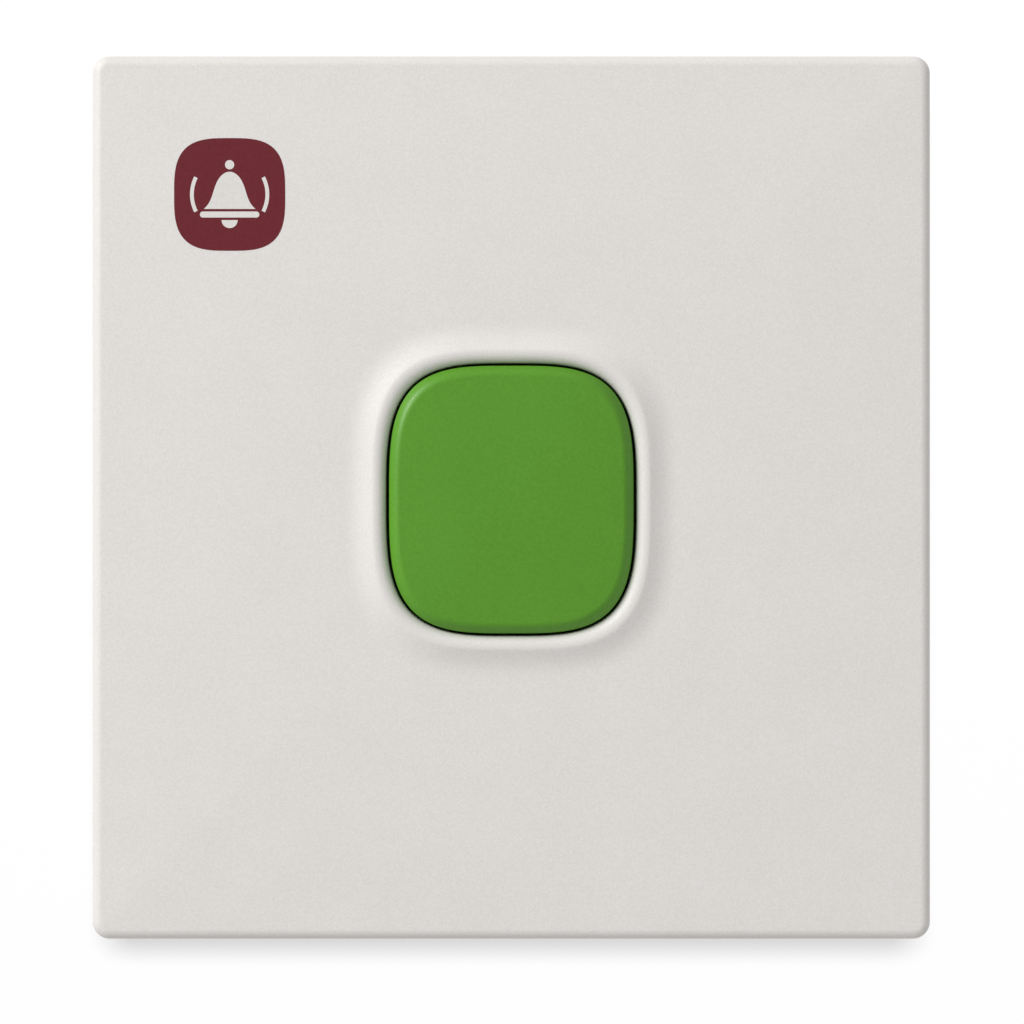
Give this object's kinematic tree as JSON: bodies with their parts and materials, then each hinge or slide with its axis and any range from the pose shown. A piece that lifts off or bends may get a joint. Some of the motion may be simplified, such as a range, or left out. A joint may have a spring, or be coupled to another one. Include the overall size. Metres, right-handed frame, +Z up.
{
  "type": "nurse call unit",
  "caption": "Flat square wall station of a nurse call system with a large sprung push-button in a raised lip and a cover clipped over a wall-box plate.",
  "frame": {"origin": "middle of the rear face of the mounting plate, on the wall", "axes": "+Y points from the front face into the wall, +Z is up, +X is to the right seen from the front"},
  "size_m": [0.084, 0.0156, 0.0886],
  "materials": {
    "cover_plastic": "fine spark-eroded texture",
    "plate_plastic": "satin moulded",
    "button_plastic": "satin moulded",
    "black_rubber": "matt moulded",
    "foam_rubber": "closed-cell foam",
    "carrier_plastic": "moulded",
    "switch_plastic": "moulded",
    "plunger_plastic": "moulded",
    "spring_steel": "drawn wire",
    "board_laminate": "solder mask",
    "chip_epoxy": "moulded epoxy",
    "can_aluminium": "drawn",
    "led_white": "moulded",
    "header_plastic": "moulded",
    "tinned_brass": "tin plated",
    "screw_steel": "zinc plated"
  },
  "bodies": {
    "unit": {"front_cover": "cover_plastic", "mounting_plate": "plate_plastic", "wall_seal": "foam_rubber", "spring_carrier": "carrier_plastic", "return_spring_left": "spring_steel", "return_spring_right": "spring_steel", "switch_body": "switch_plastic", "status_led_upper": "led_white", "status_led_lower": "led_white", "circuit_board": "board_laminate", "controller_chip": "chip_epoxy", "bus_chip": "chip_epoxy", "smoothing_capacitor": "can_aluminium", "header_shroud": "header_plastic", "header_pin_1": "tinned_brass", "header_pin_2": "tinned_brass", "header_pin_3": "tinned_brass", "header_pin_4": "tinned_brass", "board_screw_upper_left": "screw_steel", "board_screw_upper_right": "screw_steel", "board_screw_lower_left": "screw_steel", "board_screw_lower_right": "screw_steel"},
    "button": {"button_cap": "button_plastic", "button_seal": "black_rubber"},
    "plunger": {"switch_plunger": "plunger_plastic"}
  },
  "joints": [
    {"name": "button_press", "type": "slide", "parent": "unit", "child": "button", "axis": [0, 1, 0], "range_m": [0, 0.0012], "stiffness_N_per_m": 1500, "springref_m": -0.001, "deforming": ["return_spring_left", "return_spring_right"]},
    {"name": "plunger_travel", "type": "slide", "parent": "unit", "child": "plunger", "axis": [0, 1, 0], "range_m": [0, 0.0012]}
  ],
  "couplings": [
    {"joint": "plunger_travel", "follows": "button_press", "ratio": 1}
  ]
}
